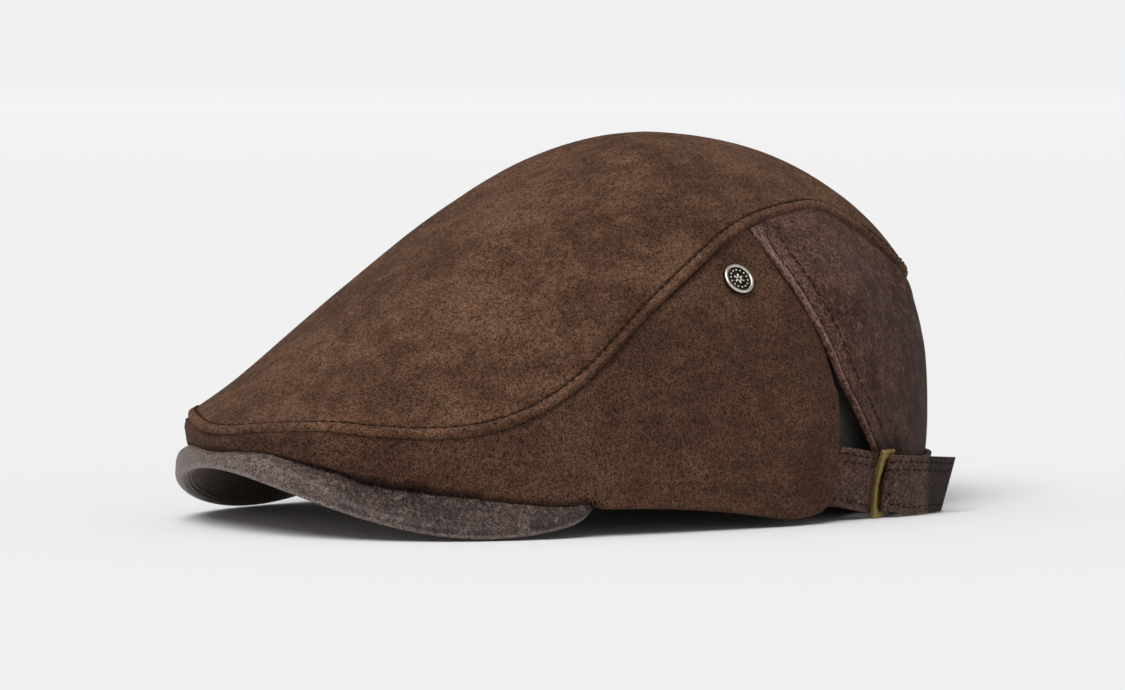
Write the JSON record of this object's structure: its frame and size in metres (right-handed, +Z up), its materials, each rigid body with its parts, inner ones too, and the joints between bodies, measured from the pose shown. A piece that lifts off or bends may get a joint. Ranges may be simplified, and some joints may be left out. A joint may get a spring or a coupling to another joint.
{
  "type": "flat cap with back strap",
  "caption": "Flat cap with a brown suede crown, dark leather peak and back panel, a round metal badge and a brass-slider back strap",
  "frame": {"origin": "centre of the cap's footprint on the surface it rests on", "axes": "+Z up, the peak points along -Y, the wearer's left side (strap slider and badge) is +X"},
  "size_m": [0.1726, 0.2674, 0.1246],
  "materials": {
    "suede": "matte",
    "suede_side": "matte",
    "leather_back": "satin",
    "leather_peak": "satin",
    "lining": "matte",
    "leather_strap": "satin",
    "leather_tab": "satin",
    "brass": "satin",
    "badge_metal": "polished"
  },
  "bodies": {
    "root": {"top_panel": "suede", "side_panel": "suede_side", "back_panel": "leather_back", "peak": "leather_peak", "lining": "lining", "strap": "leather_strap", "strap_tab": "leather_tab", "slider": "brass", "badge": "badge_metal"}
  },
  "joints": []
}
